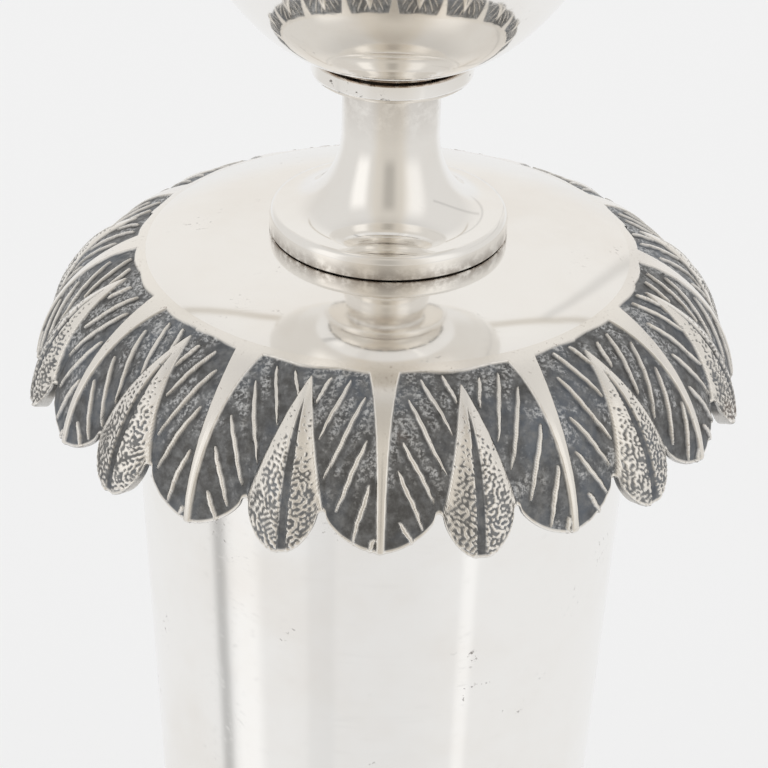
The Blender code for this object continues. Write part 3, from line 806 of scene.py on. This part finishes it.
def urn():
    """Bowl, bead, waisted upper body, rim and the brass liner inside."""
    belt = high("urn_bowl")
    bottom = high("spool_flange") + 0.03 * MM
    radius = reach("urn_bowl")
    wall = SHEET
    shoulder = 0.30 * LEAF_RADIUS
    flare_centre = (0.155 * LEAF_RADIUS, PLATE + 3.19 * LEAF_RADIUS)
    flare = (0.78 * LEAF_RADIUS, 2.60 * LEAF_RADIUS)
    inner_flare = (flare[0] - wall, flare[1] - wall)
    floor = bottom + 1.4 * MM
    outline = [(ROD_HOLE, bottom), (8.2 * MM, bottom), (8.3 * MM, bottom + 0.08 * MM)]
    outline += arc(flare_centre, flare, -85.9, -58.2, 72)
    outline += arc((radius - shoulder, belt), (shoulder, shoulder), -24.5, 0, 24)
    outline += arc((radius - shoulder, belt), (shoulder - wall, shoulder - wall), 0, -24.5, 16)
    outline += arc(flare_centre, inner_flare, -59, -85, 30)
    outline += [(7.5 * MM, floor), (ROD_HOLE, floor)]
    # Painted contact shade, with some dirt, where the bowl stands on the flange.
    dirt_and_shade = near(outline, [bottom], 0.34 * MM)
    silver = polished_silver("bowl_silver", 0.06, 0.5, None, JOINT_DIRT_AND_SHADE_PALE)
    fit(revolve("bowl", outline, silver, 256, joint_dirt_and_shade=dirt_and_shade), "stand", "polished_silver", "urn_bowl")

    low_z, high_z = low("urn_girdle"), high("urn_girdle")
    half = (high_z - low_z) / 2
    centre = reach("urn_girdle") - half
    outline = [(radius - wall, low_z), (centre, low_z)]
    outline += arc((centre, low_z + half), (half, half), -82, 82, 20)
    outline += [(centre, high_z), (radius - wall, high_z)]
    silver = polished_silver("bead_silver")
    fit(revolve("urn_bead", outline, silver, 224), "stand", "polished_silver", "urn_girdle")

    low_z, high_z = low("urn_upper_body"), high("urn_upper_body")
    wide = reach_at("urn_upper_body", low_z)
    neck = 15.8 * MM
    neck_z = belt + 11.4 * MM
    mouth_run = reach_at("urn_upper_body", high_z) - neck
    outer = arc((neck, low_z), (wide - neck, neck_z - low_z), 0, 78, 40)
    outer += arc((neck + mouth_run, neck_z + 0.3 * MM), (mouth_run, high_z - neck_z - 0.3 * MM), 176, 92, 28)
    outer += [(neck + mouth_run, high_z)]
    inner = [(r - wall, z) for r, z in reversed(outer)]
    silver = polished_silver("urn_silver", 0.07)
    fit(revolve("urn_body", outer + inner, silver, 224), "stand", "polished_silver", "urn_upper_body")

    low_z, high_z = low("urn_rim"), high("urn_rim")
    half = (high_z - low_z) / 2
    centre = reach("urn_rim") - half
    inside = 14.5 * MM
    outline = [(inside, low_z), (centre, low_z)]
    outline += arc((centre, low_z + half), (half, half), -82, 82, 20)
    outline += [(centre, high_z), (inside + 0.2 * MM, high_z), (inside, high_z - 0.2 * MM)]
    silver = polished_silver("urn_rim_silver")
    fit(revolve("urn_lip", outline, silver, 224), "stand", "polished_silver", "urn_rim")

    low_z, high_z = low("socket_liner"), high("socket_liner")
    outside = reach("socket_liner")
    corners = [
        (0, low_z),
        (outside, low_z, 0.5 * MM),
        (outside, high_z, 0.25 * MM),
        (outside - wall, high_z, 0.25 * MM),
        (outside - wall, low_z + wall, 0.6 * MM),
        (0, low_z + wall),
    ]
    outline = rounded(corners, closed=False)
    fit(revolve("liner", outline, brass("liner_brass"), 160), "stand", "brass", "socket_liner")


def nozzle():
    """Loose candle tube with its rolled lip, and the drip pan with its wire edge."""
    low_z, high_z = low("nozzle_tube"), high("nozzle_tube")
    outside = reach("nozzle_tube")
    wall = SHEET
    corners = [
        (0, low_z),
        (outside, low_z, 0.9 * MM),
        (outside, high_z, 0.15 * MM),
        (outside - wall, high_z, 0.15 * MM),
        (outside - wall, low_z + wall, 0.6 * MM),
        (0, low_z + wall),
    ]
    outline = rounded(corners, closed=False)
    silver = polished_silver("tube_silver", 0.12)
    fit(revolve("candle_tube", outline, silver, 160), "nozzle", "polished_silver", "nozzle_tube")

    low_z, high_z = low("nozzle_lip"), high("nozzle_lip")
    half = (high_z - low_z) / 2
    centre = reach("nozzle_lip") - half
    outline = [(outside - wall, low_z), (centre, low_z)]
    outline += arc((centre, low_z + half), (half, half), -80, 90, 20)
    outline += [(outside - wall + 0.3 * MM, high_z), (outside - wall, high_z - 0.3 * MM)]
    silver = polished_silver("lip_silver")
    fit(revolve("tube_lip", outline, silver, 160), "nozzle", "polished_silver", "nozzle_lip")

    low_z, high_z = low("drip_pan"), high("drip_pan")
    pan_hole = outside + 0.3 * MM
    flat = 19 * MM
    rise = 3.6 * MM
    run = reach("drip_pan_rim") - flat - 1.0 * MM
    upper = arc((flat, low_z + wall + rise), (run, rise), 272, 340, 30)
    lower = [(r + 0.25 * wall, z - wall) for r, z in upper]
    outline = [(pan_hole, low_z), (flat, low_z)] + lower + list(reversed(upper)) + [(pan_hole, low_z + wall)]
    silver = polished_silver("pan_silver", 0.07)
    fit(revolve("pan", outline, silver, 256), "nozzle", "polished_silver", "drip_pan")

    low_z, high_z = low("drip_pan_rim"), high("drip_pan_rim")
    half = (high_z - low_z) / 2
    centre = reach("drip_pan_rim") - half
    outline = arc((centre, low_z + half), (half, half), 0, 348, 30)
    silver = polished_silver("pan_wire_silver")
    fit(revolve("pan_wire", outline, silver, 256), "nozzle", "polished_silver", "drip_pan_rim")


def threaded_rod(material):
    """The tie rod with a rolled thread at each end, as one helical surface with flat ends."""
    bottom, top = low("tie_rod"), high("tie_rod")
    radius = reach("tie_rod")
    pitch = 1.0 * MM
    depth = 0.55 * MM
    threads = 24 * MM  # threaded length at each end
    sides = 48
    angles = np.arange(sides) * math.tau / sides
    levels = np.concatenate(
        [
            np.arange(bottom, bottom + threads, pitch / 8),
            np.linspace(bottom + threads, top - threads, 12),
            np.arange(top - threads + pitch / 8, top, pitch / 8),
            [top],
        ]
    )
    z = np.repeat(levels[:, None], sides, axis=1)
    turns = (z / pitch - angles / math.tau) % 1
    cut = np.clip(1.25 * (1 - np.abs(2 * turns - 1)) - 0.1, 0, 1) * depth
    plain = np.minimum(z - bottom, top - z) > threads
    end = np.minimum(z - bottom, top - z)
    r = np.where(plain, radius - 0.15 * MM, np.minimum(radius - cut, radius - 0.5 * MM + end))
    rows = np.stack([r * np.cos(angles), r * np.sin(angles), z], axis=-1)
    points = rows.reshape(-1, 3).tolist() + [(0, 0, bottom), (0, 0, top)]
    at = np.arange(rows.shape[0] * sides).reshape(rows.shape[0], sides)
    ahead = np.roll(at, -1, axis=1)
    faces = np.stack([at[:-1], ahead[:-1], ahead[1:], at[1:]], axis=-1).reshape(-1, 4).tolist()
    last = len(points)
    faces += [[last - 2, int(b), int(a)] for a, b in zip(at[0], ahead[0])]
    faces += [[last - 1, int(a), int(b)] for a, b in zip(at[-1], ahead[-1])]
    return add_mesh("rod", points, faces, None, material)


def chamfered_nut(name, cad, material):
    """A hexagon nut whose corners are turned off at both faces, with a countersunk hole."""
    bottom, top = low(cad), high(cad)
    apothem = min(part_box(cad)[1].x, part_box(cad)[1].y)
    corner = max(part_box(cad)[1].x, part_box(cad)[1].y)
    first = 0.0 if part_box(cad)[1].x >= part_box(cad)[1].y else 30.0
    hole = 3.05 * MM
    sides = 96
    angles = np.arange(sides) * 360 / sides
    off = (angles - first) % 60 - 30
    r = np.minimum(apothem / np.cos(off * DEGREE), corner)
    drop = (r - apothem) * math.tan(30 * DEGREE)
    ring = np.full(sides, 1.0)
    rows = [
        (hole * ring, bottom + 0.5 * MM * ring),
        ((hole + 0.5 * MM) * ring, bottom * ring),
        ((apothem - 0.1 * MM) * ring, bottom * ring),
        (r, bottom + drop + 0.05 * MM),
        (r, top - drop - 0.05 * MM),
        ((apothem - 0.1 * MM) * ring, top * ring),
        ((hole + 0.5 * MM) * ring, top * ring),
        (hole * ring, top - 0.5 * MM * ring),
    ]
    cos, sin = np.cos(angles * DEGREE), np.sin(angles * DEGREE)
    points = np.concatenate([np.stack([r * cos, r * sin, z], axis=-1) for r, z in rows])
    at = np.arange(len(rows) * sides).reshape(len(rows), sides)
    at = np.vstack([at, at[:1]])
    ahead = np.roll(at, -1, axis=1)
    faces = np.stack([at[:-1], ahead[:-1], ahead[1:], at[1:]], axis=-1).reshape(-1, 4)
    obj = add_mesh(name, points.tolist(), faces.tolist(), None, material)
    obj.data.set_sharp_from_angle(angle=25 * DEGREE)
    return obj


def fixings():
    """Tie rod, washer and both nuts in plain steel."""
    fit(threaded_rod(steel("rod_steel")), "stand", "steel", "tie_rod")
    fit(chamfered_nut("top_nut", "rod_top_nut", steel("top_nut_steel")), "stand", "steel", "rod_top_nut")
    fit(chamfered_nut("foot_nut", "rod_nut", steel("foot_nut_steel")), "nut", "steel", "rod_nut")
    low_z, high_z = low("rod_washer"), high("rod_washer")
    wide = reach("rod_washer")
    corners = [
        (ROD_HOLE, low_z, 0.15 * MM),
        (wide, low_z, 0.3 * MM),
        (wide, high_z, 0.3 * MM),
        (ROD_HOLE, high_z, 0.15 * MM),
    ]
    washer = revolve("washer_ring", rounded(corners), steel("washer_steel"), 128)
    fit(washer, "washer", "steel", "rod_washer")


def brass_fillings():
    """Plugs, seat disc and foot plate: their own CAD shape is right, and gets a worked surface."""
    for name in ("foot_inner_plate", "column_bottom_plug", "column_top_plug", "capital_seat_disc"):
        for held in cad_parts[name].material_slots:
            held.material = brass(f"{name}_brass")


# ---------------------------------------------------------------- studio


def soft_box(tree, azimuth, elevation, box):
    """1 inside a patch of directions, 0 outside, with a soft edge. The box is (azimuth, half-width,
    elevation, half-height, softness), in degrees."""
    middle, half_width, height, half_height, soft = box
    off = maths(tree, "ABSOLUTE", maths(tree, "SUBTRACT", azimuth, middle))
    above = maths(tree, "ABSOLUTE", maths(tree, "SUBTRACT", elevation, height))
    across = step(tree, off, half_width - soft, half_width + soft, 1.0, 0.0)
    upward = step(tree, above, half_height - soft, half_height + soft, 1.0, 0.0)
    return maths(tree, "MULTIPLY", across, upward)


# Patches of the room above the table edge, as (azimuth, half-width, elevation, half-height, softness)
# and how much brighter or darker they are than the wall.
ROOM_PATCHES = (
    ((-121.0, 14.0, 14.0, 27.0, 9.0), 0.27),  # window on the left
    ((129.0, 17.0, 20.0, 30.0, 12.0), 0.19),  # window on the right
    ((180.0, 11.0, 18.0, 28.0, 9.0), -0.17),  # someone behind the camera
    ((-180.0, 11.0, 18.0, 28.0, 9.0), -0.17),
    ((60.0, 34.0, 26.5, 1.3, 1.0), -0.14),  # rail on the right
    ((23.0, 1.1, 16.0, 29.0, 1.1), -0.16),  # edge of the backdrop
)
# The same for what shows below the table edge.
TABLE_PATCHES = (
    ((-96.0, 3.5, -38.0, 12.0, 3.0), -0.33),
    ((-111.0, 8.0, -42.0, 6.0, 4.0), 0.13),
    ((-152.0, 7.0, -38.0, 12.0, 2.0), -0.05),
    ((135.5, 3.5, -39.0, 12.0, 2.0), 0.12),
)


def surround(tree):
    """Colour that polished silver sees by direction: a pale room, two windows and a white table."""
    direction = node(tree, "SeparateXYZ", {0: node(tree, "TexCoord").outputs["Generated"]})
    turn = maths(tree, "ARCTAN2", direction.outputs["X"], direction.outputs["Y"])
    azimuth = maths(tree, "MULTIPLY", turn, 1 / DEGREE)  # 0 beyond the object, 180 behind the camera
    elevation = maths(tree, "MULTIPLY", maths(tree, "ARCSINE", direction.outputs["Z"]), 1 / DEGREE)
    off = maths(tree, "ABSOLUTE", azimuth)

    behind = step(tree, off, 128.0, 172.0)
    wall = step(tree, off, 20.0, 50.0, 0.875, 0.75)
    room = maths(tree, "ADD", wall, step(tree, elevation, 50.0, 75.0, 0.0, -0.12))
    room = maths(tree, "MULTIPLY_ADD", behind, -0.12, room)
    arch = maths(tree, "MULTIPLY_ADD", maths(tree, "MULTIPLY", azimuth, azimuth), 1 / 95, elevation)
    line = step(tree, maths(tree, "ABSOLUTE", maths(tree, "SUBTRACT", arch, 51.5)), 0.3, 2.0, -0.24, 0.0)
    drawn = maths(tree, "MULTIPLY", line, step(tree, off, 30.0, 38.0, 1.0, 0.0))
    room = maths(tree, "ADD", room, drawn)
    for box, gain in ROOM_PATCHES:
        room = maths(tree, "MULTIPLY_ADD", soft_box(tree, azimuth, elevation, box), gain, room)
    table = maths(tree, "MULTIPLY_ADD", behind, -0.05, 0.875)
    for box, gain in TABLE_PATCHES:
        table = maths(tree, "MULTIPLY_ADD", soft_box(tree, azimuth, elevation, box), gain, table)

    beside = step(tree, off, 25.0, 60.0)
    past_table = maths(tree, "ADD", beside, step(tree, elevation, 0.0, 14.0), clamp=True)
    edge = maths(tree, "MULTIPLY", step(tree, elevation, -31.0, -26.0), past_table)
    warm = maths(tree, "MULTIPLY", maths(tree, "ADD", behind, 0.35, clamp=True), edge)
    warm = maths(tree, "MULTIPLY_ADD", drawn, -3.0, warm, clamp=True)
    tint = blend(tree, warm, (1.0, 1.0, 1.0, 1.0), (1.05, 0.99, 0.90, 1.0))
    level = maths(tree, "MULTIPLY_ADD", maths(tree, "SUBTRACT", room, table), edge, table)
    near_level = maths(tree, "MAXIMUM", level, 0.0)
    return node(tree, "VectorMath", {0: tint, "Scale": near_level}, operation="SCALE").outputs[0]


PLAIN_LIGHT = (1.0, 1.0, 1.0, 1.0)  # what lights matt surfaces
BACKDROP = (0.885, 0.885, 0.885, 1.0)


def studio():
    """Pale floor, plain soft light from all round, and the room that shows in the silver."""
    side = 4.0
    mesh = bpy.data.meshes.new("floor")
    corners = [(-side, -side, 0), (side, -side, 0), (side, side, 0), (-side, side, 0)]
    mesh.from_pydata(corners, [], [(0, 1, 2, 3)])
    made, tree, shader = new_material("floor_paper", metallic=0.0)
    shader.inputs["Base Color"].default_value = BACKDROP
    shader.inputs["Roughness"].default_value = 1.0
    shader.inputs["Specular IOR Level"].default_value = 0.0
    clear = node(tree, "BsdfTransparent").outputs[0]
    underneath = node(tree, "NewGeometry").outputs["Backfacing"]
    shown = node(tree, "MixShader", {0: underneath, 1: shader.outputs[0], 2: clear}).outputs[0]
    tree.links.new(shown, tree.nodes["Material Output"].inputs["Surface"])
    mesh.materials.append(made)
    floor = bpy.data.objects.new("floor", mesh)
    bpy.context.scene.collection.objects.link(floor)
    floor.visible_glossy = False  # the silver sees the table in the surround instead

    world = bpy.data.worlds.new("studio")
    bpy.context.scene.world = world
    world.use_nodes = True
    tree = world.node_tree
    path = node(tree, "LightPath")
    plain = blend(tree, path.outputs["Is Camera Ray"], PLAIN_LIGHT, BACKDROP)
    seen = blend(tree, path.outputs["Is Glossy Ray"], plain, surround(tree))
    tree.links.new(seen, tree.nodes["Background"].inputs["Color"])
    bpy.context.scene.view_settings.view_transform = "Standard"


def camera():
    """The viewpoint: close above the capital, looking down by just under thirty degrees."""
    pitch = 29.87 * DEGREE
    roll = 1.54 * DEGREE
    distance = 7.238 * LEAF_RADIUS
    aim = np.array([0, 0, PLATE - 0.4387 * LEAF_RADIUS])
    back = np.array([0, -math.cos(pitch), math.sin(pitch)])
    right = np.array([1.0, 0, 0])
    up = np.cross(right, -back)
    turned_right = right * math.cos(roll) + up * math.sin(roll)
    turned_up = up * math.cos(roll) - right * math.sin(roll)
    data = bpy.data.cameras.new("camera")
    data.sensor_width = 36.0
    data.lens = 117.47
    data.clip_start = 0.01
    data.clip_end = 20.0
    made = bpy.data.objects.new("camera", data)
    bpy.context.scene.collection.objects.link(made)
    # Blender takes a plain list of columns here.
    columns = [turned_right, turned_up, back, aim + back * distance]
    made.matrix_world = [[*column, float(i == 3)] for i, column in enumerate(columns)]
    bpy.context.scene.camera = made


camera()
studio()
foot()
collar()
column()
leaf_capital()
spool()
urn()
nozzle()
fixings()
brass_fillings()
